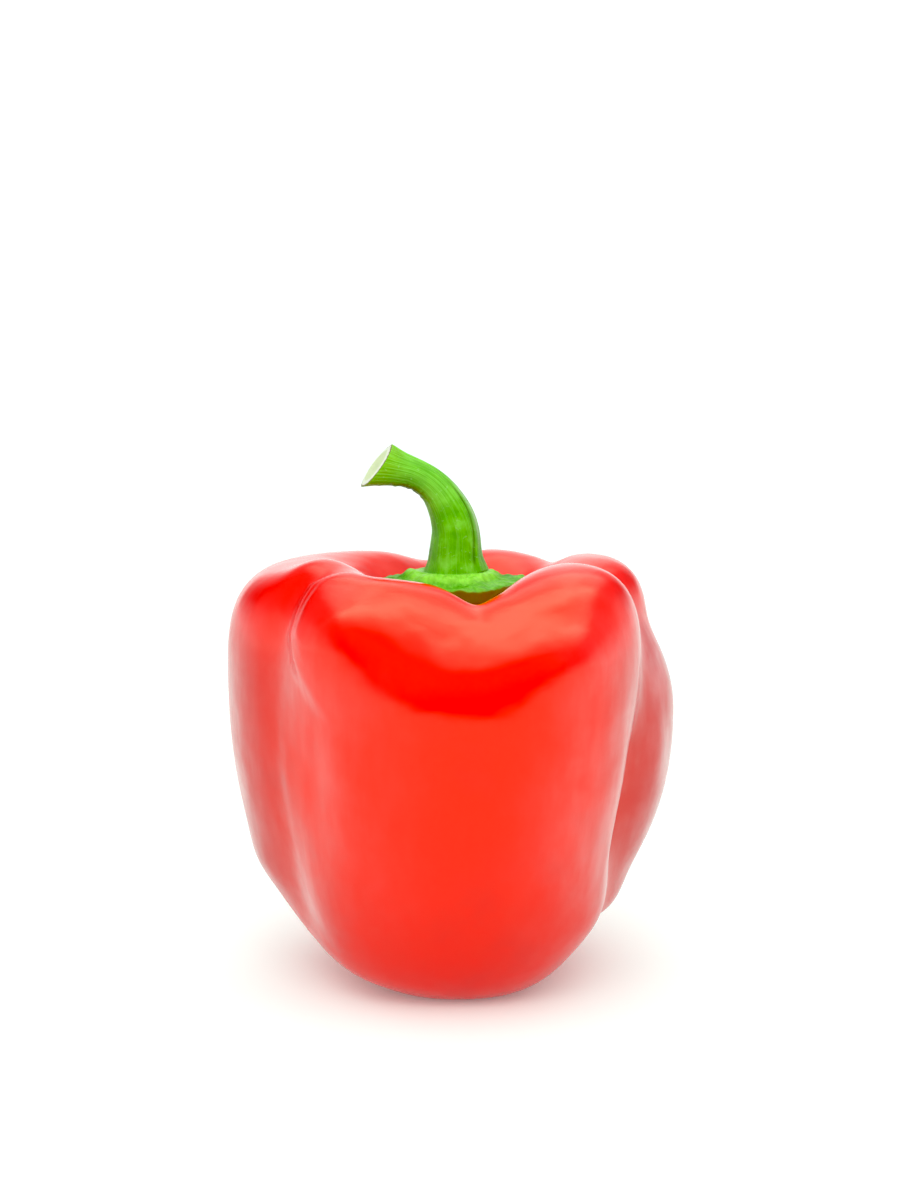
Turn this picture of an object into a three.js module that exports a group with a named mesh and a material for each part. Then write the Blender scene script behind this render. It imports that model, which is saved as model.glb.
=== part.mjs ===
import * as THREE from 'three';
import { mergeVertices } from 'three/addons/utils/BufferGeometryUtils.js';

// A ripe red bell pepper standing on the feet of its lobes, with its green calyx and bent stem.
// Millimetres, +Z up. The origin is under the middle of the object, on the surface it stands on.

// Fruit: every vertex lies on a ray from this point, where the ray leaves the joined lobes
const rayStart = new THREE.Vector3(0, 0, 42);
const shortestRay = 20;
const longestRay = 70;
const raySteps = 36;
const creaseBlend = 1.4;      // how far the crease between two lobes is rounded
const fruitAround = 96;       // vertices around the fruit
const fruitRows = 58;         // rows of vertices from the stem end to the blossom end

// Each lobe is a rounded box on an upright axis. azimuth is where it points, out and side are the
// axis's place, plan is the squareness of its cross section, and middle is its widest height.
// Above and below the middle it reaches its own distance, with its own squareness (power), leaning
// out (lean) and narrowing (pinch) towards its end. slant tilts the axis sideways and taper narrows
// the lobe downwards, both for each 50 mm of height.
const taperHeight = 50;
const lobes = [
  {
    azimuth: 271, out: 16, side: 1.5, halfWidth: 33.6, halfDepth: 28, plan: 2.35,
    middle: 58, slant: 1.8, taper: 0.13,
    top: { reach: 26.8, power: 3.4, lean: -2, pinch: 0.12 },
    bottom: { reach: 58.6, power: 3.6, lean: -3.5, pinch: 0 },
  },
  {
    azimuth: 178, out: 17, side: -3, halfWidth: 29.2, halfDepth: 27.6, plan: 2.2,
    middle: 62, slant: 0, taper: 0,
    top: { reach: 20.3, power: 4.4, lean: 0.8, pinch: 0.14 },
    bottom: { reach: 57.5, power: 3.1, lean: -4.8, pinch: 0.09 },
  },
  {
    azimuth: 4, out: 19.5, side: 3, halfWidth: 23.5, halfDepth: 25, plan: 2.1,
    middle: 52, slant: 0, taper: 0,
    top: { reach: 29, power: 2.1, lean: -4, pinch: 0 },
    bottom: { reach: 46, power: 2.7, lean: -8, pinch: 0.12 },
  },
  {
    azimuth: 8, out: 29.2, side: 3, halfWidth: 12.5, halfDepth: 9.8, plan: 2,
    middle: 71.5, slant: 0, taper: 0,
    top: { reach: 11.2, power: 2.5, lean: -1, pinch: 0 },
    bottom: { reach: 24, power: 2, lean: -3, pinch: 0 },
  },
  {
    azimuth: 92, out: 14, side: 0, halfWidth: 30, halfDepth: 28, plan: 2.2,
    middle: 54, slant: 0, taper: 0,
    top: { reach: 28, power: 2.8, lean: 0, pinch: 0 },
    bottom: { reach: 54.6, power: 2.8, lean: 0, pinch: 0.1 },
  },
];

// Swells and dents push the skin along its ray; across and up are their spreads in degrees
const swells = [
  { azimuth: 322, elevation: 47, push: 3.6, across: 13, up: 11 },
  { azimuth: 232, elevation: 54, push: 1.3, across: 10, up: 10 },
  { azimuth: 68, elevation: 54, push: 1.4, across: 12, up: 12 },
  { azimuth: 45, elevation: 56, push: 1, across: 8, up: 8 },
  { azimuth: 120, elevation: 54, push: 0.6, across: 14, up: 12 },
  { azimuth: 206, elevation: 56, push: 2.9, across: 8, up: 8 },
  { azimuth: 277, elevation: 44, push: -6.5, across: 20, up: 16 },
  { azimuth: 232, elevation: 4, push: -1.4, across: 8, up: 20 },
  { azimuth: 217, elevation: 6, push: 0.5, across: 4, up: 20 },
  { azimuth: 232, elevation: -30, push: 0.3, across: 8, up: 8 },
  { azimuth: 218, elevation: 44, push: 0.5, across: 8, up: 8 },
  { azimuth: 238, elevation: 38, push: 1.8, across: 10, up: 8 },
  { azimuth: 243, elevation: 22, push: -0.9, across: 10, up: 8 },
  { azimuth: 320, elevation: -34, push: 1.6, across: 12, up: 10 },
  { azimuth: 300, elevation: 32, push: 2.1, across: 11, up: 7 },
  { azimuth: 334, elevation: 8, push: -1.6, across: 7, up: 9 },
  { azimuth: 334, elevation: -13, push: -3.6, across: 8, up: 13 },
  { azimuth: 346, elevation: 5, push: 0.8, across: 5, up: 11 },
  { azimuth: 352, elevation: -42, push: 2.2, across: 14, up: 9 },
  { azimuth: 208, elevation: -46, push: 1.4, across: 11, up: 6 },
  { azimuth: 236, elevation: -58, push: -0.9, across: 12, up: 6 },
  { azimuth: 190, elevation: -25, push: 0.8, across: 14, up: 8 },
];

// The hollow round the stem, the dimple at the blossom end and the valleys over the rim are sunk
// straight up or down. A valley lies round its own distance out from the axis (out, spread).
const stemHollow = { depth: 10, radius: 18.2, power: 3.5 };
const blossomDimple = { depth: 6, radius: 9 };
const valleys = [
  { azimuth: 279.8, depth: 5.8, width: 2.2, out: 18.5, spread: 7.5 },
  { azimuth: 291, depth: 2.8, width: 4, out: 20, spread: 8 },
  { azimuth: 237, depth: 4, width: 3.2, out: 20, spread: 8 },
  { azimuth: 100, depth: 4, width: 3.5, out: 20, spread: 10 },
];
const topFade = { from: 50, to: 70 };      // heights between which the top's hollows come in
const bottomFade = { from: 30, to: 10 };   // the same for the blossom end

// Calyx: profile of the green cap as [radius, height], from under its middle to the stem's foot.
// Its first rows are the underside; at calyxEdge it is drawn out by the whole length of its points.
const gap = 0.6;
const calyxThickness = 0.9;
const underRows = 6;
const calyxProfile = [
  [0, 74.9],
  [5, 74.9],
  [9, 74.7],
  [11.8, 74.4],
  [13.2, 74.8],
  [13.6, 76.4],
  [13.3, 78.9],
  [12.7, 79.3],
  [11, 79.4],
  [9.7, 79.5],
  [9.1, 79.8],
  [8.6, 80.3],
  [8, 80.7],
  [6.7, 80.75],
];
const calyxEdge = 13.3;
const calyxPoints = [
  { azimuth: 180, length: 2.7, width: 20 },
  { azimuth: 232, length: 0.7, width: 18 },
  { azimuth: 285, length: 1.8, width: 24 },
  { azimuth: 357, length: 1.3, width: 24 },
  { azimuth: 60, length: 1.8, width: 22 },
  { azimuth: 118, length: 1.6, width: 22 },
];
const capCentre = new THREE.Vector2(0.2, 0);
const frontSlope = 0.04;           // how fast the cap falls away from its middle, towards the front
const backSlope = 0.14;            // and towards the back
const slopeFade = { from: 6.7, to: 8 };    // radii between which those slopes come in

// Stem: its centre line, and its radius at even steps along it
const stemLine = [
  [0.9, 0, 80.7],
  [0.75, 0, 84],
  [0.8, 0, 86.2],
  [0.7, 0, 88.6],
  [0.1, 0, 91],
  [-0.9, -0.1, 93.3],
  [-2.5, -0.5, 96],
  [-4.8, -1, 98.3],
  [-7.7, -1.5, 99.9],
  [-10.9, -2, 100.7],
  [-14.7, -2.5, 101.4],
];
const stemRadii = [6.4, 5.45, 5.1, 4.85, 4.55, 4.3, 3.95, 3.6, 3.3, 3.1, 3.0, 3.05, 3.3, 3.75, 4.4];
const stemRings = 26;
const stemAround = 40;

// Ribs: azimuth at the foot, turn by the tip, height as a share of the radius, width in degrees
const stemRibs = [
  { azimuth: -43, twist: 46, size: 0.05, width: 12 },
  { azimuth: 30, twist: -30, size: 0.05, width: 18 },
  { azimuth: 100, twist: -10, size: 0.04, width: 20 },
  { azimuth: 172, twist: 0, size: 0.04, width: 18 },
  { azimuth: 246, twist: -20, size: 0.025, width: 16 },
];
const cutNormal = new THREE.Vector3(-0.79, -0.18, 0.59).normalize();
const cutBlend = 0.6;              // share of the stem after which its rings turn into the cut

const weldDistance = 0.0001;
const radians = THREE.MathUtils.degToRad;
const degrees = THREE.MathUtils.radToDeg;

// 0 below the first edge, 1 past the second, and an S-curve between them
function fade(value, from, to) {
  const t = THREE.MathUtils.clamp((value - from) / (to - from), 0, 1);
  return t * t * (3 - 2 * t);
}

// A bump of height 1 at 0 that fades out over about twice its width
function hill(value, width) {
  return Math.exp(-((value / width) ** 2));
}

// Turn from one compass angle to another the short way, in degrees
function turn(azimuth, towards) {
  return THREE.MathUtils.euclideanModulo(azimuth - towards + 180, 360) - 180;
}

// Rough distance from a point to a lobe's surface, negative inside it
function lobeDistance(point, lobe) {
  const cos = Math.cos(radians(lobe.azimuth));
  const sin = Math.sin(radians(lobe.azimuth));
  const outward = point.x * cos + point.y * sin;
  const sideways = point.y * cos - point.x * sin;
  const height = point.z - lobe.middle;
  const end = height > 0 ? lobe.top : lobe.bottom;
  const share = Math.abs(height) / end.reach;
  const scale = 1 + lobe.taper * height / taperHeight - end.pinch * share ** 2;
  const acrossShare = (sideways - lobe.side - lobe.slant * height / taperHeight) / (lobe.halfWidth * scale);
  const outShare = (outward - lobe.out - end.lean * share ** 2) / (lobe.halfDepth * scale);
  const section = Math.abs(acrossShare) ** lobe.plan + Math.abs(outShare) ** lobe.plan;
  const size = (section ** (end.power / lobe.plan) + share ** end.power) ** (1 / end.power);
  return (size - 1) * Math.min(lobe.halfWidth, lobe.halfDepth);
}

// The lobes joined, with the creases between them rounded
function fruitDistance(point) {
  const distances = lobes.map((lobe) => lobeDistance(point, lobe));
  const nearest = Math.min(...distances);
  const total = distances.reduce((sum, d) => sum + Math.exp((nearest - d) / creaseBlend), 0);
  return nearest - creaseBlend * Math.log(total);
}

// Bisection: how far from start, along a direction, the joined lobes end
function edgeAlong(start, direction, shortest, longest) {
  const point = new THREE.Vector3();
  let near = shortest;
  let far = longest;
  for (let step = 0; step < raySteps; step += 1) {
    const middle = (near + far) / 2;
    const inside = fruitDistance(point.copy(start).addScaledVector(direction, middle)) < 0;
    near = inside ? middle : near;
    far = inside ? far : middle;
  }
  return near;
}

function swellPush(direction) {
  const azimuth = degrees(Math.atan2(direction.y, direction.x));
  const elevation = degrees(Math.asin(THREE.MathUtils.clamp(direction.z, -1, 1)));
  let push = 0;
  for (const swell of swells) {
    const away = turn(azimuth, swell.azimuth) * Math.cos(radians(swell.elevation));
    push += swell.push * hill(away, swell.across) * hill(elevation - swell.elevation, swell.up);
  }
  return push;
}

// How far the hollow, the dimple and the valleys move a point of the skin up or down
function sink(x, y, z) {
  const radius = Math.hypot(x, y);
  const top = fade(z, topFade.from, topFade.to);
  const bottom = fade(z, bottomFade.from, bottomFade.to);
  let change = bottom * blossomDimple.depth * hill(radius, blossomDimple.radius);
  change -= top * stemHollow.depth * Math.exp(-((radius / stemHollow.radius) ** stemHollow.power));
  for (const valley of valleys) {
    const cos = Math.cos(radians(valley.azimuth));
    const sin = Math.sin(radians(valley.azimuth));
    const along = hill(x * cos + y * sin - valley.out, valley.spread);
    const across = (y * cos - x * sin) / valley.width;
    change -= top * valley.depth * along * Math.exp(1 - Math.hypot(1, across));
  }
  return change;
}

// Height of the fruit's top at a place near its stem
function topHeight(x, y) {
  const start = new THREE.Vector3(x, y, rayStart.z);
  const height = rayStart.z + edgeAlong(start, new THREE.Vector3(0, 0, 1), 0, longestRay);
  return height + sink(x, y, height);
}

// Only positions are kept, so that the vertices along a seam and at a pole become one
function welded(geometry) {
  geometry.deleteAttribute('normal');
  geometry.deleteAttribute('uv');
  return mergeVertices(geometry, weldDistance);
}

function makeFruit() {
  const geometry = welded(new THREE.SphereGeometry(1, fruitAround, fruitRows).rotateX(Math.PI / 2));
  const position = geometry.attributes.position;
  const direction = new THREE.Vector3();
  const point = new THREE.Vector3();
  for (let i = 0; i < position.count; i += 1) {
    direction.fromBufferAttribute(position, i).normalize();
    const length = edgeAlong(rayStart, direction, shortestRay, longestRay) + swellPush(direction);
    point.copy(rayStart).addScaledVector(direction, length);
    const height = point.z + sink(point.x, point.y, point.z);
    position.setXYZ(i, point.x, point.y, Math.max(height, 0));
  }
  geometry.computeVertexNormals();
  const skin = new THREE.MeshStandardMaterial({ color: 0xd4180f, roughness: 0.22, metalness: 0 });
  const mesh = new THREE.Mesh(geometry, skin);
  mesh.name = 'fruit_body';
  return mesh;
}

// A vertex of the calyx: drawn out into points, falling away to the front and the back, and kept
// above the fruit by the gap, its upper side by the calyx's thickness as well
function calyxPoint(angle, row) {
  const [radius, height] = calyxProfile[row];
  let drawn = 0;
  for (const point of calyxPoints) {
    drawn += point.length * hill(turn(degrees(angle), point.azimuth), point.width);
  }
  const reach = radius + drawn * (radius / calyxEdge) ** 3;
  const x = capCentre.x + reach * Math.cos(angle);
  const y = capCentre.y + reach * Math.sin(angle);
  const upper = row < underRows ? 0 : 1;
  const slope = (y > 0 ? backSlope : frontSlope) * fade(radius, slopeFade.from, slopeFade.to);
  const lowest = topHeight(x, y) + gap + calyxThickness * upper;
  return new THREE.Vector3(x, y, Math.max(height - slope * Math.abs(y) * upper, lowest));
}

// A ring vertex of the stem: angle round it, share of its radius, and share of its length
function stemPoint(curve, angle, radiusShare, lengthShare) {
  const centre = curve.getPointAt(lengthShare);
  const tangent = curve.getTangentAt(lengthShare);
  const place = lengthShare * (stemRadii.length - 1);
  const before = Math.min(Math.floor(place), stemRadii.length - 2);
  const radius = THREE.MathUtils.lerp(stemRadii[before], stemRadii[before + 1], place - before);
  let swell = 1;
  for (const rib of stemRibs) {
    swell += rib.size * hill(turn(degrees(angle), rib.azimuth + rib.twist * lengthShare), rib.width);
  }
  const back = new THREE.Vector3(0, 1, 0).addScaledVector(tangent, -tangent.y).normalize();
  const right = new THREE.Vector3().crossVectors(back, tangent);
  const offset = right.multiplyScalar(Math.cos(angle)).addScaledVector(back, Math.sin(angle));
  offset.multiplyScalar(radius * swell * radiusShare);
  const shear = fade(lengthShare, cutBlend, 1) * offset.dot(cutNormal) / tangent.dot(cutNormal);
  return centre.add(offset).addScaledVector(tangent, -shear);
}

// One closed skin of rings: up the calyx's profile, along the stem, and across the cut to its middle
function makeStem() {
  const curve = new THREE.CatmullRomCurve3(stemLine.map((p) => new THREE.Vector3(...p)));
  const rows = calyxProfile.length + stemRings;
  const profile = Array.from({ length: rows + 1 }, (unused, row) => new THREE.Vector2(1, row));
  profile[0].x = 0;
  profile[rows].x = 0;
  const geometry = welded(new THREE.LatheGeometry(profile, stemAround));
  const position = geometry.attributes.position;
  for (let i = 0; i < position.count; i += 1) {
    const row = Math.round(position.getY(i));
    const angle = Math.atan2(-position.getZ(i), position.getX(i));
    const lengthShare = Math.min((row - calyxProfile.length + 1) / stemRings, 1);
    const point = row < calyxProfile.length
      ? calyxPoint(angle, row)
      : stemPoint(curve, angle, row === rows ? 0 : 1, lengthShare);
    position.setXYZ(i, point.x, point.y, point.z);
  }
  geometry.computeVertexNormals();
  const green = new THREE.MeshStandardMaterial({ color: 0x5fae1f, roughness: 0.55, metalness: 0 });
  const mesh = new THREE.Mesh(geometry, green);
  mesh.name = 'stem_and_calyx';
  return mesh;
}

// Both pieces are shifted together, so that the object's own box stands centred on the origin
const pepper = new THREE.Group();
pepper.add(makeFruit(), makeStem());
const box = new THREE.Box3().setFromObject(pepper);
const middle = box.getCenter(new THREE.Vector3());
pepper.children.forEach((mesh) => mesh.geometry.translate(-middle.x, -middle.y, -box.min.z));

export default pepper;
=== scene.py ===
import math

import bpy
import numpy as np
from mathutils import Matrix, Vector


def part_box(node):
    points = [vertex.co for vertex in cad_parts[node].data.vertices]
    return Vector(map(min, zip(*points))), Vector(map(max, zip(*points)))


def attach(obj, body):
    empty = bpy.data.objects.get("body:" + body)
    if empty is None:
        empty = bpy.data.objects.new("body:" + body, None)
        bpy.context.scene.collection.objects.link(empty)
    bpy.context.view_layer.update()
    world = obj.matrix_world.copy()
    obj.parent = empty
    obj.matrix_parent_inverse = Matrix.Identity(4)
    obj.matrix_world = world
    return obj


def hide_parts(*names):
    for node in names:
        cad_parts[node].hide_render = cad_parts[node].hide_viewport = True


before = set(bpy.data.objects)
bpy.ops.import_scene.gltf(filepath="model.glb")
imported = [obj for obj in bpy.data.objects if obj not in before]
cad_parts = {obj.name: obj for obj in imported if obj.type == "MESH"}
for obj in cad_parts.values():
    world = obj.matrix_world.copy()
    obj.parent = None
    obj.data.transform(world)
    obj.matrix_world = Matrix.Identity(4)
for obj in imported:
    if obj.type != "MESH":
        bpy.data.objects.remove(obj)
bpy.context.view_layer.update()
mm = 0.001                     # shapes are worked out in millimetres, as the CAD is
print("frame loaded")


# 0 below start, 1 past full, and an S-curve between them
def fade(value, start, full):
    t = np.clip((value - start) / (full - start), 0, 1)
    return t * t * (3 - 2 * t)


# a bump of height 1 at 0 that fades out over about twice its width
def hill(value, width):
    return np.exp(-(value / width) ** 2)


# turns from one compass angle to another the short way, in degrees
def turn(azimuth, towards):
    return (azimuth - towards + 180) % 360 - 180


def unit(vectors):
    return vectors / np.linalg.norm(vectors, axis=-1, keepdims=True)


# rows of values averaged with their neighbours, with the ends carried straight on
def evened(rows, width):
    before = 2 * rows[:1] - rows[3 * width:0:-1]
    after = 2 * rows[-1:] - rows[-2:-2 - 3 * width:-1]
    longer = np.concatenate([before, rows, after])
    weight = hill(np.arange(-3 * width, 3 * width + 1), width)
    weight = weight / weight.sum()
    return np.stack([np.convolve(column, weight, "valid") for column in longer.T], -1)


# makes a closed mesh of a grid of points (rows, columns, 3) with one point before the first row and one
# after the last; rows go down and columns go round by rising angle, so that the faces point outwards
def closedMesh(name, first, grid, last, attributes):
    rows, columns = grid.shape[:2]
    points = np.concatenate([[first], grid.reshape(-1, 3), [last]]) * mm
    index = 1 + np.arange(rows * columns).reshape(rows, columns)
    after = np.roll(index, -1, axis=1)
    quads = np.stack([index[:-1], index[1:], after[1:], after[:-1]], -1).reshape(-1, 4)
    start = np.stack([np.zeros(columns, int), index[0], after[0]], -1)
    end = np.stack([np.full(columns, rows * columns + 1), after[-1], index[-1]], -1)
    mesh = bpy.data.meshes.new(name)
    mesh.from_pydata(points.tolist(), [], quads.tolist() + start.tolist() + end.tolist())
    for key, value in attributes.items():
        column = np.concatenate([[value[0].mean()], value.ravel(), [value[-1].mean()]])
        mesh.attributes.new(key, "FLOAT", "POINT").data.foreach_set("value", column.astype(np.float32))
    mesh.shade_smooth()
    mesh.update()
    piece = bpy.data.objects.new(name, mesh)
    bpy.context.scene.collection.objects.link(piece)
    return piece


# each lobe is a rounded box on an upright axis; above and below its widest height it has its own
# reach, squareness (power), outward lean and narrowing (pinch)
fruit = dict(
    start=(0, 0, 42), blend=1.4, around=400, rows=236, steps=26, shortest=20, longest=70,
    lobes=[
        dict(azimuth=271, out=16, side=1.5, half=(33.6, 28), plan=2.35, middle=58, slant=1.8, taper=0.13,
             reach=(26.8, 58.6), power=(3.4, 3.6), lean=(-2, -3.5), pinch=(0.12, 0)),
        dict(azimuth=178, out=17, side=-3, half=(29.2, 27.6), plan=2.2, middle=62, slant=0, taper=0,
             reach=(20.3, 57.5), power=(4.4, 3.1), lean=(0.8, -4.8), pinch=(0.14, 0.09)),
        dict(azimuth=4, out=19.5, side=3, half=(23.5, 25), plan=2.1, middle=52, slant=0, taper=0,
             reach=(29, 46), power=(2.1, 2.7), lean=(-4, -8), pinch=(0, 0.12)),
        dict(azimuth=8, out=29.2, side=3, half=(12.5, 9.8), plan=2, middle=71.5, slant=0, taper=0,
             reach=(11.2, 24), power=(2.5, 2), lean=(-1, -3), pinch=(0, 0)),
        dict(azimuth=92, out=14, side=0, half=(30, 28), plan=2.2, middle=54, slant=0, taper=0,
             reach=(28, 54.6), power=(2.8, 2.8), lean=(0, 0), pinch=(0, 0.1)),
    ],
    swells=[                   # azimuth and elevation seen from the start, push, spread across and up
        (322, 47, 3.6, 13, 11), (232, 54, 1.3, 10, 10), (68, 54, 1.4, 12, 12), (45, 56, 1, 8, 8),
        (120, 54, 0.6, 14, 12), (206, 56, 2.9, 8, 8), (277, 44, -6.5, 20, 16), (232, 4, -1.4, 8, 20),
        (217, 6, 0.5, 4, 20), (232, -30, 0.3, 8, 8), (218, 44, 0.5, 8, 8), (238, 38, 1.8, 10, 8),
        (243, 22, -0.9, 10, 8), (320, -34, 1.6, 12, 10), (300, 32, 2.1, 11, 7), (334, 8, -1.6, 7, 9),
        (334, -13, -3.6, 8, 13), (346, 5, 0.8, 5, 11), (352, -42, 2.2, 14, 9), (208, -46, 1.4, 11, 6),
        (236, -58, -0.9, 12, 6), (190, -25, 0.8, 14, 8),
    ],
    # push, edge width, reach behind it, fade-in, fade-out, then the elevations and azimuths along it
    folds=[
        (1.3, 3.2, 24, (15, 27), (50, 62), [(20, 236), (28, 228), (37, 219), (49, 218.5), (56, 229)]),
        (0.3, 1.3, 5, (28, 36), (46, 56), [(28, 233), (37, 224.5), (49, 224), (56, 234)]),
    ],
    hollow=(10, 18.2, 3.5),    # depth, radius and squareness of the bowl round the stem
    dimple=(6, 9),             # depth and radius at the blossom end
    valleys=[                  # azimuth, depth, width, and how far out from the axis it lies and spreads
        (279.8, 5.8, 2.2, 18.5, 7.5), (291, 2.8, 4, 20, 8), (237, 4, 3.2, 20, 8), (100, 4, 3.5, 20, 10),
    ],
    topFade=(50, 70), bottomFade=(30, 10), taperHeight=50,
)
# the wax on the skin: sideways share of the normal over which it grows on the right and the left,
# heights over which it starts, share of up or down over which it ends, and depths where it fades
bloomRule = dict(
    right=(0.18, 0.75), left=(0.55, 1.1), low=(2, 28), level=(0.4, 0.9), back=(0, 24), backShare=0.75,
    haze=0.27, hazeLeft=(0.06, 0.3), hazeLevel=(0.25, 0.5),
    patches=[                  # azimuth, height, change of the bloom, spread in degrees and in millimetres
        (207, 55, -0.8, 8, 25), (219, 46, -1, 7, 24), (238, 60, 0.5, 7, 8), (236, 38, -0.25, 8, 14),
    ],
    reach=9,                   # rows and columns over which it is evened out
)


# rough distance of points to one lobe's surface: the size of the superellipsoid through them less 1
def lobeDistance(x, y, z, lobe):
    azimuth = math.radians(lobe["azimuth"])
    outward = x * math.cos(azimuth) + y * math.sin(azimuth)
    sideways = y * math.cos(azimuth) - x * math.sin(azimuth)
    height = z - lobe["middle"]
    above = height > 0
    reach, power, lean, pinch = (np.where(above, *lobe[key]) for key in ("reach", "power", "lean", "pinch"))
    share = np.abs(height) / reach
    level = height / fruit["taperHeight"]
    scale = 1 + lobe["taper"] * level - pinch * share ** 2
    across = np.abs(sideways - lobe["side"] - lobe["slant"] * level) / (lobe["half"][0] * scale)
    out = np.abs(outward - lobe["out"] - lean * share ** 2) / (lobe["half"][1] * scale)
    section = across ** lobe["plan"] + out ** lobe["plan"]
    size = (section ** (power / lobe["plan"]) + share ** power) ** (1 / power)
    return (size - 1) * min(lobe["half"])


# smooth smallest of the lobes' distances, so that the creases between them are rounded
def fruitDistance(x, y, z):
    distances = np.stack([lobeDistance(x, y, z, lobe) for lobe in fruit["lobes"]])
    nearest = distances.min(0)
    blend = fruit["blend"]
    return nearest - blend * np.log(np.exp((nearest - distances) / blend).sum(0))


# how far the hollow, the dimple and the valleys move the skin up or down
def sink(x, y, z):
    radius = np.hypot(x, y)
    top = fade(z, *fruit["topFade"])
    change = fade(z, *fruit["bottomFade"]) * fruit["dimple"][0] * hill(radius, fruit["dimple"][1])
    depth, reach, power = fruit["hollow"]
    change = change - top * depth * np.exp(-(radius / reach) ** power)
    for azimuth, depth, width, out, spread in fruit["valleys"]:
        angle = math.radians(azimuth)
        along = hill(x * math.cos(angle) + y * math.sin(angle) - out, spread)
        across = (y * math.cos(angle) - x * math.sin(angle)) / width
        change = change - top * depth * along * np.exp(1 - np.hypot(1, across))
    return change


# bisection: how far along unit directions from a start the joined lobes end
def edgeAlong(start, direction, shortest, longest):
    near = np.full(direction.shape[:-1], float(shortest))
    far = np.full(direction.shape[:-1], float(longest))
    for _ in range(fruit["steps"]):
        middle = (near + far) / 2
        point = start + middle[..., None] * direction
        inside = fruitDistance(point[..., 0], point[..., 1], point[..., 2]) < 0
        near = np.where(inside, middle, near)
        far = np.where(inside, far, middle)
    return (near + far) / 2


# skin points for an azimuth and an elevation in degrees: the ray's end, pushed by the swells and sunk
def skin(azimuth, elevation):
    a, e = np.radians(azimuth), np.radians(elevation)
    direction = np.stack([np.cos(a) * np.cos(e), np.sin(a) * np.cos(e), np.sin(e)], -1)
    length = edgeAlong(np.array(fruit["start"], float), direction, fruit["shortest"], fruit["longest"])
    for where, up, push, across, spread in fruit["swells"]:
        away = turn(azimuth, where) * math.cos(math.radians(up))
        length = length + push * hill(away, across) * hill(elevation - up, spread)
    for push, edge, reach, begin, end, line in fruit["folds"]:
        ups, rounds = zip(*line)
        across = turn(azimuth, np.interp(elevation, ups, rounds)) * math.cos(math.radians(ups[0]))
        shape = fade(across, -edge, edge) * hill(np.maximum(across, 0), reach)
        length = length + push * shape * fade(elevation, *begin) * (1 - fade(elevation, *end))
    x, y, z = np.moveaxis(np.array(fruit["start"]) + length[..., None] * direction, -1, 0)
    return np.stack([x, y, np.maximum(z + sink(x, y, z), 0)], -1)


# height of the fruit's top over places near its stem
def topHeight(x, y):
    start = np.stack([x, y, np.full_like(x, fruit["start"][2])], -1)
    up = np.zeros_like(start)
    up[..., 2] = 1
    z = fruit["start"][2] + edgeAlong(start, up, 0, fruit["longest"])
    return z + sink(x, y, z)


def makeFruit():
    step = 180 / (fruit["rows"] + 1)
    elevation = 90 - step * (1 + np.arange(fruit["rows"]))
    azimuth = np.arange(fruit["around"]) * 360 / fruit["around"]
    up, round_ = np.meshgrid(elevation, azimuth, indexing="ij")
    grid = skin(round_, up)
    ends = skin(np.zeros(2), np.array([90.0, -90.0]))
    return grid, ends


# how waxy the skin is: most on the flanks, none in front, on top or underneath
def bloomOf(grid):
    rule = bloomRule
    down = np.gradient(grid, axis=0)
    across = np.roll(grid, -1, axis=1) - np.roll(grid, 1, axis=1)
    normal = unit(np.cross(down, across))
    slope = np.abs(normal[..., 2])
    thick = fade(normal[..., 0], *rule["right"]) + fade(-normal[..., 0], *rule["left"])
    thin = fade(-normal[..., 0], *rule["hazeLeft"]) * rule["haze"]
    bloom = thick * (1 - fade(slope, *rule["level"])) + thin * (1 - fade(slope, *rule["hazeLevel"]))
    bloom = bloom * fade(grid[..., 2], *rule["low"])
    bloom = bloom * (1 - fade(grid[..., 1], *rule["back"]) * rule["backShare"])
    azimuth = np.degrees(np.arctan2(grid[..., 1], grid[..., 0]))
    for where, height, change, width, rise in rule["patches"]:
        bloom = bloom * (1 + change * hill(turn(azimuth, where), width) * hill(grid[..., 2] - height, rise))
    edge = 3 * rule["reach"]
    wide = np.concatenate([bloom[:, -edge:], bloom, bloom[:, :edge]], axis=1)
    return evened(evened(wide, rule["reach"]).T, rule["reach"]).T[:, edge:-edge]


fruitGrid, fruitEnds = makeFruit()
low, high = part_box("fruit_body")
cadMiddle = (np.array(low) + np.array(high)) / 2 / mm
ownMiddle = (fruitGrid.reshape(-1, 3).min(0) + fruitGrid.reshape(-1, 3).max(0)) / 2
shift = np.array([cadMiddle[0] - ownMiddle[0], cadMiddle[1] - ownMiddle[1], 0])   # into the CAD's frame
fruitPiece = closedMesh("fruitBody", fruitEnds[0] + shift, fruitGrid + shift, fruitEnds[1] + shift,
                        {"bloom": bloomOf(fruitGrid)})
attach(fruitPiece, "root")
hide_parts("fruit_body")
print("fruit made")


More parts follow.
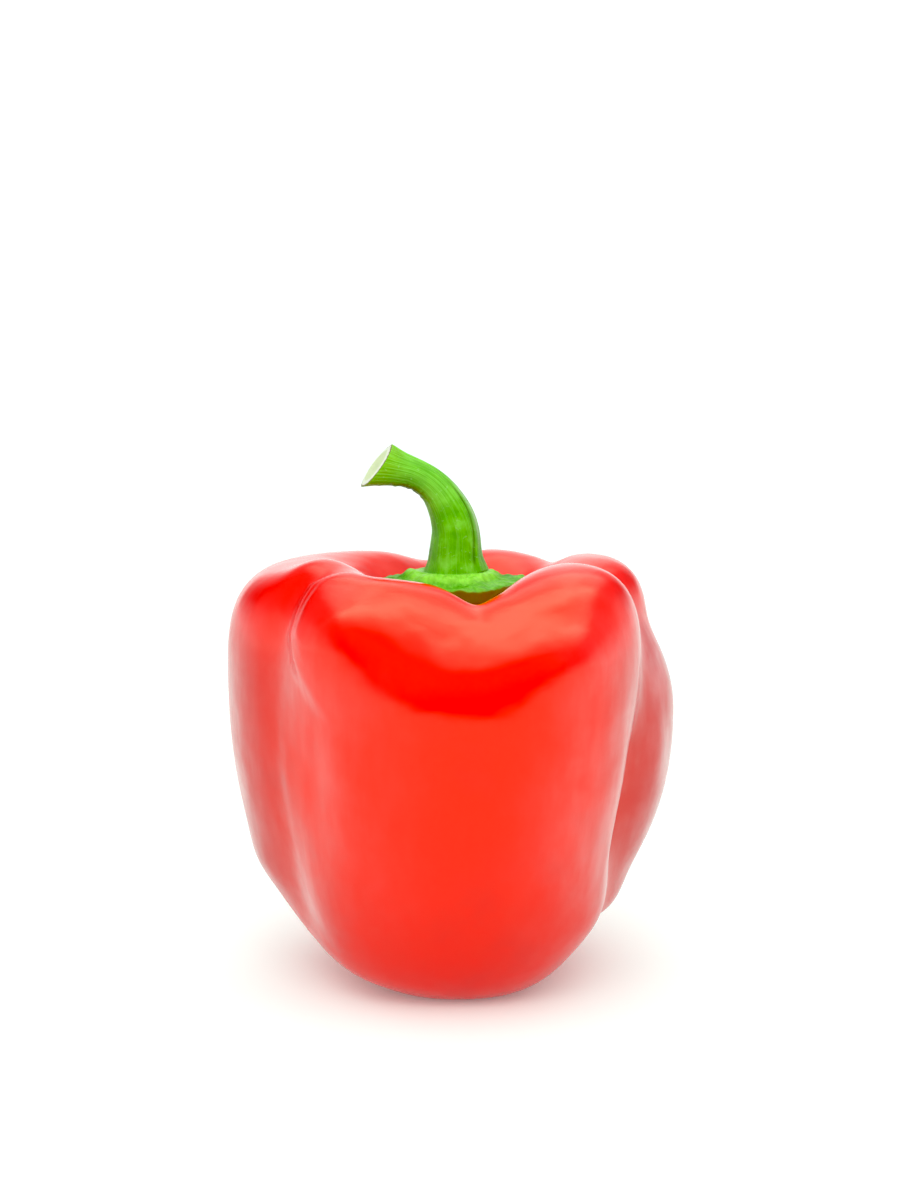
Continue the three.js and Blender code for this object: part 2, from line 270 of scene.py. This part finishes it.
# the calyx lies in the hollow: its profile is carried round, its edge drawn out into points
calyx = dict(
    rows=90, centre=(0.2, 0), edge=13.3, edgePower=3, evenness=4,
    under=[(0.4, 74.9), (5, 74.9), (9, 74.7), (11.8, 74.4), (13.2, 74.8), (13.6, 76.4)],
    over=[(13.3, 78.9), (12.7, 79.3), (11, 79.4), (9.7, 79.5), (9.1, 79.8), (8.6, 80.3), (8, 80.7),
          (7.2, 80.75), (6.7, 80.75)],
    points=[                   # azimuth, how far it is drawn out, and its width in degrees
        (180, 2.7, 20), (232, 0.7, 18), (285, 1.8, 24), (357, 1.3, 24), (60, 1.8, 22), (118, 1.6, 22),
    ],
    tilt=(0.04, 0.14),         # fall towards the front and towards the back
    gap=0.45, thin=0.9, collarReach=(6.6, 7.2), leafReach=(8.6, 10),
    topStart=(0.33, 0.45), underEnd=(0.42, 0.46), footStart=(0.9, 1),     # shares of the way along the rows
    lumps=[                    # size, waves round, waves a millimetre outward, start of the wave
        (0.16, 5, 0.5, 1.0), (0.14, 9, 0.9, 2.2), (0.1, 16, -1.3, 0.4), (0.07, 27, 1.7, 4.0),
        (0.05, 41, -2.3, 1.7),
    ],
)
stem = dict(
    around=240, rows=220,
    line=[(0.9, 0, 80.7), (0.75, 0, 84), (0.8, 0, 86.2), (0.7, 0, 88.6), (0.1, 0, 91), (-0.9, -0.1, 93.3),
          (-2.5, -0.5, 96), (-4.8, -1, 98.3), (-7.7, -1.5, 99.9), (-10.9, -2, 100.7), (-14.7, -2.5, 101.4)],
    evenness=9, radiusEvenness=12,
    radii=[6.4, 5.45, 5.1, 4.85, 4.55, 4.3, 3.95, 3.6, 3.3, 3.1, 3.0, 3.05, 3.3, 3.75, 4.4],
    # azimuth at the foot, turn towards the tip, height as a share of the radius, width in degrees
    ribs=[
        (-43, 46, 0.05, 10), (-53, 46, -0.03, 3.5), (30, -30, 0.05, 18), (100, -10, 0.04, 20),
        (172, 0, 0.04, 18),
        (246, -20, 0.025, 16), (-72, -50, 0.012, 6), (-98, -40, 0.016, 7), (-128, -30, 0.012, 6),
    ],
    wrinkles=[                 # size, waves along, waves round, start of the wave
        (0.022, 13, 1, 0.0), (0.012, 23, -2, 2.0), (0.006, 37, 3, 1.0),
    ],
    cutNormal=(-0.79, -0.18, 0.59), cutBlend=0.6, cutRows=24, cutSpacing=1.6, dish=1.4, bare=0.98,
    # a painted highlight on the ridge's lit facet, and painted shade in the crease beside it
    litFacet=dict(turn=10, width=12, start=(0.14, 0.3), end=(0.48, 0.62)),
    crease=dict(turn=-9, width=3, start=(0.02, 0.08)),
    # inside: where the bend's inner side is wrinkled, and where its colour is darkened as painted shade
    inside=dict(azimuth=180, width=65, middle=0.74, spread=0.18),
)


# Catmull-Rom curve through points, sampled at even lengths
def smoothLine(points, count, fine=40):
    p = np.array(points, float)
    p = np.concatenate([[2 * p[0] - p[1]], p, [2 * p[-1] - p[-2]]])
    t = (np.arange(fine) / fine)[:, None]
    a, b, c, d = (p[i:len(p) - 3 + i, None] for i in range(4))
    curve = 2 * b + (c - a) * t + (2 * a - 5 * b + 4 * c - d) * t ** 2 + (3 * b - a - 3 * c + d) * t ** 3
    curve = np.concatenate([curve.reshape(-1, 3) / 2, [p[-2]]])
    length = np.concatenate([[0], np.cumsum(np.linalg.norm(np.diff(curve, axis=0), axis=1))])
    even = np.linspace(0, length[-1], count)
    return np.stack([np.interp(even, length, curve[:, k]) for k in range(3)], -1)


# a value for each of some places, from the corners of a bent line, with the corners rounded off
def along(places, corners, width, steps=400):
    fine = np.linspace(0, 1, steps)
    bent = np.interp(fine, np.linspace(0, 1, len(corners)), corners)
    return np.interp(places, fine, evened(bent[:, None], width)[:, 0])


# calyx points: heights over the fruit, with a raised collar round the stem's foot and lumps on top
def calyxGrid(angle):
    profile = np.array(calyx["under"] + calyx["over"])
    share = np.linspace(0, 1, calyx["rows"])
    radius = along(share, profile[:, 0], calyx["evenness"])[:, None] + 0 * angle
    height = along(share, profile[:, 1], calyx["evenness"])[:, None] + 0 * angle
    top = fade(share, *calyx["topStart"])[:, None]
    outer = (radius / calyx["edge"]) ** calyx["edgePower"]
    for azimuth, drawn, width in calyx["points"]:
        radius = radius + outer * drawn * hill(turn(np.degrees(angle), azimuth), width)
    x = calyx["centre"][0] + radius * np.cos(angle)
    y = calyx["centre"][1] + radius * np.sin(angle)
    foot = 1 - fade(share, *calyx["footStart"])[:, None]
    for size, waves, outward, start in calyx["lumps"]:
        height = height + top * foot * size * np.sin(waves * angle + outward * radius + start)
    height = height - np.where(y > 0, calyx["tilt"][1], calyx["tilt"][0]) * np.abs(y) * top * foot
    floor = topHeight(x, y) + calyx["gap"] + calyx["thin"] * top
    return np.stack([x, y, np.maximum(height, floor)], -1)


# stem points: a ribbed and wrinkled ring carried along the line, its last rings turned into the cut
def stemGrid(angle):
    azimuth = np.degrees(angle)
    line = evened(smoothLine(stem["line"], stem["rows"]), stem["evenness"])
    tangent = unit(np.gradient(line, axis=0))
    back = unit(np.array([0.0, 1, 0]) - tangent * tangent[:, 1:2])
    right = np.cross(back, tangent)
    share = np.linspace(0, 1, stem["rows"])[:, None]
    radius = along(share, stem["radii"], stem["radiusEvenness"])
    swell = 0 * angle
    for where, twist, size, width in stem["ribs"]:
        swell = swell + size * hill(turn(azimuth, where + twist * share), width)
    inside = stem["inside"]
    bend = hill(turn(azimuth, inside["azimuth"]), inside["width"])
    bend = bend * hill(share - inside["middle"], inside["spread"])
    for size, waves, around, start in stem["wrinkles"]:
        swell = swell + bend * size * np.sin(2 * math.pi * waves * share + around * angle + start)
    radius = radius * (stem["bare"] + swell)
    offset = right[:, None] * (radius * np.cos(angle))[..., None]
    offset = offset + back[:, None] * (radius * np.sin(angle))[..., None]
    normal = unit(np.array(stem["cutNormal"]))
    shear = fade(share, stem["cutBlend"], 1) * (offset @ normal) / (tangent @ normal)[:, None]
    points = line[:, None] + offset - shear[..., None] * tangent[:, None]
    return points, line[-1], {"inside": bend, **ridgeMarks(azimuth, share)}


# where the stem gets a painted highlight on the lit facet beside its main ridge, and painted shade in the
# crease on the ridge's other side
def ridgeMarks(azimuth, share):
    litFacet, crease = stem["litFacet"], stem["crease"]
    where, twist = stem["ribs"][0][:2]
    away = turn(azimuth, where + twist * share)
    end = 1 - fade(share, *litFacet["end"])
    pale = fade(share, *litFacet["start"]) * end * hill(away - litFacet["turn"], litFacet["width"])
    dark = fade(share, *crease["start"]) * end * hill(away - crease["turn"], crease["width"])
    return {"pale": pale, "crease": dark}


def makeStem():
    angle = (np.arange(stem["around"]) * 2 * math.pi / stem["around"])[None]
    cap = calyxGrid(angle)
    stalk, tip, marks = stemGrid(angle)
    inward = 1 - np.linspace(0, 1, stem["cutRows"] + 1)[1:-1, None, None] ** stem["cutSpacing"]
    normal = unit(np.array(stem["cutNormal"]))
    sunk = stem["dish"] * (1 - inward) * inward ** 2
    face = tip + (stalk[-1] - tip) * inward + sunk * normal
    grid = np.concatenate([cap, stalk, face])
    share = np.linspace(0, 1, len(cap))
    reach = np.hypot(cap[..., 0] - calyx["centre"][0], cap[..., 1] - calyx["centre"][1])
    upper = fade(share, *calyx["underEnd"])
    outer = fade(reach, *calyx["leafReach"])
    collar = upper[:, None] * (1 - outer) * fade(reach, *calyx["collarReach"])
    rest = np.zeros((len(stalk) + len(face), stem["around"]))
    spread = np.ones((len(grid), stem["around"]))
    length = np.concatenate([np.zeros(len(cap)), np.linspace(0, 1, len(stalk)), np.ones(len(face))])
    cut = np.concatenate([np.zeros(len(cap) + len(stalk)), 1 - inward[:, 0, 0]])
    under = np.concatenate([1 - upper, np.zeros(len(rest))])
    attributes = {
        "along": length[:, None] * spread, "cut": cut[:, None] * spread, "under": under[:, None] * spread,
        "leaf": np.concatenate([upper[:, None] * outer, rest]), "collar": np.concatenate([collar, rest]),
        "roundX": np.cos(angle) * spread, "roundY": np.sin(angle) * spread,
    }
    for key, value in marks.items():
        attributes[key] = np.concatenate([0 * reach, value, np.zeros((len(face), stem["around"]))])
    middle = np.array([*calyx["centre"], cap[0, :, 2].mean()])
    downward = {key: value[::-1] for key, value in attributes.items()}
    return closedMesh("stemAndCalyx", tip + shift, grid[::-1] + shift, middle + shift, downward)


stemPiece = makeStem()
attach(stemPiece, "root")
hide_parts("stem_and_calyx")
print("stem and calyx made")


# an output socket of a node tree: sums, products and powers of wires and numbers add their Math nodes
class Wire:
    def __init__(self, tree, socket=None):
        self.tree = tree
        self.socket = socket

    # any node: its type, its settings, then the values or wires of its sockets
    def node(self, kind, settings=None, inputs=None, output=0):
        made = self.tree.nodes.new(kind)
        for key, value in (settings or {}).items():
            setattr(made, key, value)
        for key, value in (inputs or {}).items():
            if isinstance(value, Wire):
                self.tree.links.new(value.socket, made.inputs[key])
            else:
                made.inputs[key].default_value = value
        return Wire(self.tree, made.outputs[output])

    def maths(self, operation, first, second):
        return self.node("ShaderNodeMath", {"operation": operation}, {0: first, 1: second})

    def __add__(self, other):
        return self.maths("ADD", self, other)

    def __radd__(self, other):
        return self.maths("ADD", other, self)

    def __sub__(self, other):
        return self.maths("SUBTRACT", self, other)

    def __rsub__(self, other):
        return self.maths("SUBTRACT", other, self)

    def __mul__(self, other):
        return self.maths("MULTIPLY", self, other)

    def __rmul__(self, other):
        return self.maths("MULTIPLY", other, self)

    def __truediv__(self, other):
        return self.maths("DIVIDE", self, other)

    def __pow__(self, other):
        return self.maths("POWER", self, other)

    # 0 below start, 1 past full, with a smooth step between them
    def between(self, start, full):
        return self.node("ShaderNodeMapRange", {"interpolation_type": "SMOOTHSTEP"},
                         {"Value": self, "From Min": start, "From Max": full})

    # the three parts of this vector
    def parts(self):
        return [self.node("ShaderNodeSeparateXYZ", {}, {0: self}, output=axis) for axis in range(3)]

    # soft random spots over this place
    def noise(self, scale, detail):
        return self.node("ShaderNodeTexNoise", {}, {"Vector": self, "Scale": scale, "Detail": detail})

    # this colour, moved towards another by a factor
    def mixed(self, factor, other):
        return blended(factor, self, other)


# one colour moved towards another by a factor
def blended(factor, first, other):
    return factor.node("ShaderNodeMix", {"data_type": "RGBA"}, {0: factor, 6: first, 7: other}, output=2)


def colour(red, green, blue):
    return (red, green, blue, 1)


# a new material: its shader's fixed values first, then a root wire to start from
def newFinish(name, fixed):
    material = bpy.data.materials.new(name)
    material.use_nodes = True
    tree = material.node_tree
    shader = tree.nodes["Principled BSDF"]
    for key, value in fixed.items():
        shader.inputs[key].default_value = value
    return material, shader, Wire(tree)


def plug(wire, shader, key):
    wire.tree.links.new(wire.socket, shader.inputs[key])


skinFinish = dict(
    fixed={
        "IOR": 1.47, "Specular Tint": colour(1, 1, 0.55), "Coat IOR": 1.8, "Coat Roughness": 0.42,
        "Subsurface Weight": 0.1, "Subsurface Radius": (1.0, 0.2, 0.1), "Subsurface Scale": 0.002,
    },
    # deep is the red that the base colour moves towards: as painted shade on the side lobes, where the bloom
    # lies and towards the bottom, and as random tone with the mottle
    base=colour(0.9, 0.002, 0.0005), deep=colour(0.54, 0.008, 0.02), roughness=0.17, rougher=0.04,
    flankOut=(0.024, 0.04), flankTop=(0.06, 0.08), flankBack=(0.0, 0.024), lowEnd=(0.0, 0.05),
    shadeAndMottle=dict(flankShade=0.7, bloom=0.15, low=0.45, mottle=0.15),
    # each noise is a scale and a detail
    mottle=(60.0, 4.0), waves=(75.0, 2.0), grain=(900.0, 2.0), streaks=(300.0, 4.0),
    mottleEdge=(0.5, 0.75), waveHeight=1.4, grainHeight=0.03, bump=0.5, bumpDepth=0.001,
    bloom=0.78, patchEdge=(0.35, 0.65), patch=(0.7, 0.6),       # the least of the bloom, and what is added
    streakStretch=0.3, streakEdge=(0.3, 0.7), streak=(0.8, 0.4),
)


def redSkin():
    values = skinFinish
    material, shader, root = newFinish("redSkin", values["fixed"])
    place = root.node("ShaderNodeTexCoord", output="Object")
    across, depth, height = place.parts()
    bloom = root.node("ShaderNodeAttribute", {"attribute_name": "bloom"}, output="Fac")
    mottle = place.noise(*values["mottle"])
    # painted shade: the side lobes, the bloom and the bottom darken the base colour towards deep red; the
    # mottle adds random tone
    flankShade = ((across * across) ** 0.5).between(*values["flankOut"])
    flankShade = flankShade * (1 - height.between(*values["flankTop"])) * (1 - depth.between(*values["flankBack"]))
    shadeAndMottle = flankShade * values["shadeAndMottle"]["flankShade"] + bloom * values["shadeAndMottle"]["bloom"]
    shadeAndMottle = shadeAndMottle + (1 - height.between(*values["lowEnd"])) * values["shadeAndMottle"]["low"]
    shadeAndMottle = shadeAndMottle + mottle.between(*values["mottleEdge"]) * values["shadeAndMottle"]["mottle"]
    plug(blended(shadeAndMottle, values["base"], values["deep"]), shader, "Base Color")
    plug(values["roughness"] + mottle * values["rougher"], shader, "Roughness")
    waves = place.noise(*values["waves"]) * values["waveHeight"]
    grain = place.noise(*values["grain"]) * values["grainHeight"]
    bump = root.node("ShaderNodeBump", {}, {
        "Height": waves + grain, "Strength": values["bump"], "Distance": values["bumpDepth"],
    })
    plug(bump, shader, "Normal")
    upright = root.node("ShaderNodeCombineXYZ", {}, {
        0: across, 1: depth, 2: height * values["streakStretch"],
    })
    streaks = upright.noise(*values["streaks"]).between(*values["streakEdge"])
    patches = values["patch"][0] + mottle.between(*values["patchEdge"]) * values["patch"][1]
    wax = patches * (values["streak"][0] + streaks * values["streak"][1])
    plug(bloom * values["bloom"] * wax, shader, "Coat Weight")
    return material


stemFinish = dict(
    fixed={
        "IOR": 1.32, "Specular Tint": colour(0.95, 1, 0.6), "Subsurface Weight": 0.08,
        "Subsurface Radius": (0.3, 1.0, 0.1), "Subsurface Scale": 0.001,
    },
    # pale serves both as the specks' colour and as a painted highlight beside the ridge; shade is painted
    # shade in the crease and inside the bend
    green=colour(0.13, 0.5, 0.004), dark=colour(0.08, 0.38, 0.002), light=colour(0.25, 0.72, 0.08),
    tip=colour(0.22, 0.48, 0.001), pale=colour(0.45, 0.72, 0.33), shade=colour(0.05, 0.16, 0.001),
    leaf=colour(0.13, 0.44, 0.02), vein=colour(0.045, 0.22, 0.003), collar=colour(0.26, 0.72, 0.05),
    # the underside's colour is the calyx's own brown, darkened as painted shade beneath its rim
    brownAndShade=colour(0.17, 0.12, 0.004), pith=colour(0.68, 0.79, 0.46), ring=colour(0.82, 0.87, 0.7),
    rim=colour(0.16, 0.14, 0.015),
    roughness=0.36, leafRougher=0.1, cutRougher=0.3, bump=0.6, bumpDepth=0.0006,
    lineRound=7, lineAlong=1.6, lines=(2.2, 3.0), blotch=(330.0, 3.0), speck=(1500.0, 2.0),
    relief=dict(lines=0.6, blotch=0.5, speck=0.18),
    upper=(0.38, 0.6), end=(0.8, 0.95), tipStart=(0.75, 1.0),   # shares of the way along the stem
    rimEnd=(0.0, 0.02), ringStart=(0.05, 0.09), pithStart=(0.22, 0.34), ragged=0.12, raggedReach=(0.0, 0.1),
    front=(-0.3, 0.7), frontLeast=0.3,
    # on the stalk and on the calyx: between which values of a noise a colour comes in, and how much of it;
    # of a pair of amounts, the first is always there and the second grows with another mark
    stalk=dict(
        greenEdge=(0.35, 0.6), lightEdge=(0.5, 0.75), light=0.6, tip=0.8, body=0.5, endLoss=0.7,
        lineEdge=(0.5, 0.62), line=(0.25, 0.4), furrowEdge=(0.48, 0.36), furrow=0.5, pale=(0.5, 0.5),
        crease=0.75, inside=(0.75, 0.8), speckEdge=(0.62, 0.75), speck=0.25,
    ),
    cap=dict(
        leafEdge=(0.35, 0.65), speckEdge=(0.45, 0.65), speck=0.35, veinEdge=(0.54, 0.44), veinMost=1.2,
        collar=(0.55, 0.7),
    ),
)


# the stalk's green: blotched, lined along its length, with a painted highlight beside its ridge, and painted
# shade in the crease and inside its bend
def stalkColour(mark, lines, blotch, speck):
    values = stemFinish
    share = values["stalk"]
    lined, pale, inside = share["line"], share["pale"], share["inside"]
    upper = mark["along"].between(*values["upper"])
    body = upper * (1 - mark["along"].between(*values["end"]) * share["endLoss"])
    stalk = blended(blotch.between(*share["greenEdge"]), values["dark"], values["green"])
    stalk = stalk.mixed(blotch.between(*share["lightEdge"]) * share["light"], values["light"])
    stalk = stalk.mixed(mark["along"].between(*values["tipStart"]) * share["tip"], values["tip"])
    stalk = stalk.mixed(body * share["body"], values["light"])
    stalk = stalk.mixed(lines.between(*share["lineEdge"]) * (lined[0] + upper * lined[1]), values["light"])
    stalk = stalk.mixed(lines.between(*share["furrowEdge"]) * upper * share["furrow"], values["dark"])
    # a painted highlight on the ridge's lit facet, painted shade in the crease and painted shade inside the
    # bend
    stalk = stalk.mixed(mark["pale"] * (pale[0] + blotch * pale[1]), values["pale"])
    stalk = stalk.mixed(mark["crease"] * share["crease"], values["shade"])
    stalk = stalk.mixed(mark["inside"] * (inside[0] + blotch * inside[1]), values["shade"])
    return stalk.mixed(speck.between(*share["speckEdge"]) * share["speck"], values["pale"])


# the calyx laid over a colour: a veined leaf, a light collar round the stem, mostly towards the front, and a
# brown underside that is partly its own tone and partly painted shade beneath the rim
def withCalyx(under, mark, lines, blotch, speck):
    values = stemFinish
    share = values["cap"]
    collar = share["collar"]
    least = values["frontLeast"]
    front = least + (0 - mark["roundY"]).between(*values["front"]) * (1 - least)
    leaf = blended(blotch.between(*share["leafEdge"]), values["dark"], values["leaf"])
    leaf = leaf.mixed(speck.between(*share["speckEdge"]) * share["speck"], values["collar"])
    leaf = leaf.mixed(lines.between(*share["veinEdge"]) * (share["veinMost"] - front), values["vein"])
    green = under.mixed(mark["leaf"], leaf)
    green = green.mixed(mark["collar"] * front * (collar[0] + blotch * collar[1]), values["collar"])
    return green.mixed(mark["under"], values["brownAndShade"])


# the cut face laid over a colour: a ragged dark rim, a pale ring and a greenish pith
def withCut(under, mark, speck):
    values = stemFinish
    cut = mark["cut"] + (speck - 0.5) * mark["cut"].between(*values["raggedReach"]) * values["ragged"]
    green = under.mixed(cut.between(*values["rimEnd"]), values["rim"])
    green = green.mixed(cut.between(*values["ringStart"]), values["ring"])
    return green.mixed(cut.between(*values["pithStart"]), values["pith"])


def greenStem():
    values = stemFinish
    material, shader, root = newFinish("greenStem", values["fixed"])
    names = ("along", "cut", "under", "leaf", "collar", "inside", "pale", "crease", "roundX", "roundY")
    mark = {name: root.node("ShaderNodeAttribute", {"attribute_name": name}, output="Fac") for name in names}
    place = root.node("ShaderNodeTexCoord", output="Object")
    lengthwise = root.node("ShaderNodeCombineXYZ", {}, {
        0: mark["roundX"] * values["lineRound"], 1: mark["roundY"] * values["lineRound"],
        2: mark["along"] * values["lineAlong"],
    })
    lines = lengthwise.noise(*values["lines"])
    blotch = place.noise(*values["blotch"])
    speck = place.noise(*values["speck"])
    stalk = stalkColour(mark, lines, blotch, speck)
    green = withCut(withCalyx(stalk, mark, lines, blotch, speck), mark, speck)
    plug(green, shader, "Base Color")
    rough = values["roughness"] + mark["leaf"] * values["leafRougher"] + mark["cut"] * values["cutRougher"]
    plug(rough, shader, "Roughness")
    relief = values["relief"]
    raised = lines * relief["lines"] + blotch * relief["blotch"] + speck * relief["speck"]
    bump = root.node("ShaderNodeBump", {}, {
        "Height": raised, "Strength": values["bump"], "Distance": values["bumpDepth"],
    })
    plug(bump, shader, "Normal")
    return material


fruitPiece.data.materials.append(redSkin())
stemPiece.data.materials.append(greenStem())
print("finishes made")


stage = dict(half=4, floor=colour(0.82, 0.95, 0.9), roughness=0.7, gloss=0.2, glow=0.17)


def makeFloor():
    half = stage["half"]
    corners = [(-half, -half, 0), (half, -half, 0), (half, half, 0), (-half, half, 0)]
    mesh = bpy.data.meshes.new("floor")
    mesh.from_pydata(corners, [], [(0, 1, 2, 3)])
    floor = bpy.data.objects.new("floor", mesh)
    bpy.context.scene.collection.objects.link(floor)
    material = newFinish("paleFloor", {
        "Base Color": stage["floor"], "Roughness": stage["roughness"], "Specular IOR Level": stage["gloss"],
        "Emission Color": colour(1, 1, 1), "Emission Strength": stage["glow"],
    })[0]
    mesh.materials.append(material)


# brightness of the surroundings: seen by eye, by the skin's soft shading, and mirrored in its gloss
studio = dict(
    seen=1.2, soft=1.55, front=0.9, side=1.78, behind=1.6, overhead=6.0,
    leastLevel=0.001,          # keeps the shares finite straight up and down
    sideTurn=(0.25, 0.95),     # share of sideways, from the front's brightness to the side's
    backTurn=(0.0, 0.7),       # share of behind, from there to the brightness behind
    bandRise=(-0.12, 0.12),    # start of the dark band over the horizon, as sines of elevation
    bandFlatter=0.6, bandLater=0.1,                    # to the sides it starts more slowly and higher
    bandBack=(0.75, 1.0), bandBackPale=0.45, bandEnd=(0.93, 1.0), bandEndPale=0.5,
    bandSide=(0.75, 1.0), bandSideTop=(0.3, 0.6), bandSidePale=0.3,
    lampReach=(-0.55, 0.02),   # depths over which the overhead light grows from nothing
    lampBack=(0.02, 0.18), lampBackLoss=0.6, lampEnd=(0.5, 0.75),
    lampSide=(0.08, 0.34), lampSideLoss=0.93,          # squares of the distance aside
    lampHeight=(0.1, 0.6),
    softbox=dict(place=(-0.05, -1.2, 0.8), size=1.2, power=10.0),
)


# what the gloss mirrors: a bright ring round the horizon, a dark band over it, and light from above
def mirroredLight(across, depth, height):
    level = (across * across + depth * depth) ** 0.5 + studio["leastLevel"]
    sideways = (across * across) ** 0.5 / level
    behind = depth / level
    ring = studio["front"] + sideways.between(*studio["sideTurn"]) * (studio["side"] - studio["front"])
    back = behind.between(*studio["backTurn"])
    ring = ring * (1 - back) + back * studio["behind"]
    rise = height * (1 - sideways * studio["bandFlatter"]) - sideways * studio["bandLater"]
    pale = behind.between(*studio["bandBack"]) * studio["bandBackPale"]
    pale = pale + behind.between(*studio["bandEnd"]) * studio["bandEndPale"]
    aside = sideways.between(*studio["bandSide"]) * (1 - height.between(*studio["bandSideTop"]))
    dark = rise.between(*studio["bandRise"]) * (1 - pale) * (1 - aside * studio["bandSidePale"])
    start, full = studio["lampReach"]
    near = depth.node("ShaderNodeMapRange", {}, {"Value": depth, "From Min": start, "From Max": full})
    lamp = near * near * (1 - depth.between(*studio["lampBack"]) * studio["lampBackLoss"])
    lamp = lamp * (1 - depth.between(*studio["lampEnd"])) * height.between(*studio["lampHeight"])
    lamp = lamp * (1 - (across * across).between(*studio["lampSide"]) * studio["lampSideLoss"])
    return ring * (1 - dark) + lamp * studio["overhead"]


def makeLight():
    world = bpy.data.worlds.new("studio")
    bpy.context.scene.world = world
    world.use_nodes = True
    tree = world.node_tree
    tree.nodes.clear()
    root = Wire(tree)
    across, depth, height = root.node("ShaderNodeTexCoord", output="Generated").parts()
    seen = root.node("ShaderNodeLightPath", output="Is Camera Ray")
    mirrored = root.node("ShaderNodeLightPath", output="Is Glossy Ray")
    gloss = mirroredLight(across, depth, height)
    other = mirrored * gloss + (1 - mirrored) * height * studio["soft"]
    strength = seen * studio["seen"] + (1 - seen) * other
    back = root.node("ShaderNodeBackground", {}, {"Color": colour(1, 1, 1), "Strength": strength})
    output = tree.nodes.new("ShaderNodeOutputWorld")
    tree.links.new(back.socket, output.inputs["Surface"])
    values = studio["softbox"]
    light = bpy.data.lights.new("softbox", "AREA")
    light.shape = "SQUARE"
    light.size = values["size"]
    light.energy = values["power"]
    softbox = bpy.data.objects.new("softbox", light)
    softbox.location = values["place"]
    softbox.rotation_euler = (-softbox.location).to_track_quat("-Z", "Y").to_euler()
    softbox.visible_glossy = False
    bpy.context.scene.collection.objects.link(softbox)


view = dict(place=(-0.0004, -0.5, 0.15), aim=0.0747, lens=76.95, near=0.01, far=50, black=0.015)


def makeCamera():
    data = bpy.data.cameras.new("camera")
    data.lens = view["lens"]
    data.clip_start = view["near"]
    data.clip_end = view["far"]
    camera = bpy.data.objects.new("camera", data)
    camera.location = [a + b * mm for a, b in zip(view["place"], shift)]
    fall = math.atan2(view["place"][2] - view["aim"], -view["place"][1])
    camera.rotation_euler = (math.pi / 2 - fall, 0, 0)
    bpy.context.scene.collection.objects.link(camera)
    bpy.context.scene.camera = camera


makeFloor()
makeLight()
makeCamera()
settings = bpy.context.scene.view_settings
settings.view_transform = "Standard"
settings.use_curve_mapping = True
settings.curve_mapping.black_level = [view["black"]] * 3
settings.curve_mapping.update()
print("stage made")
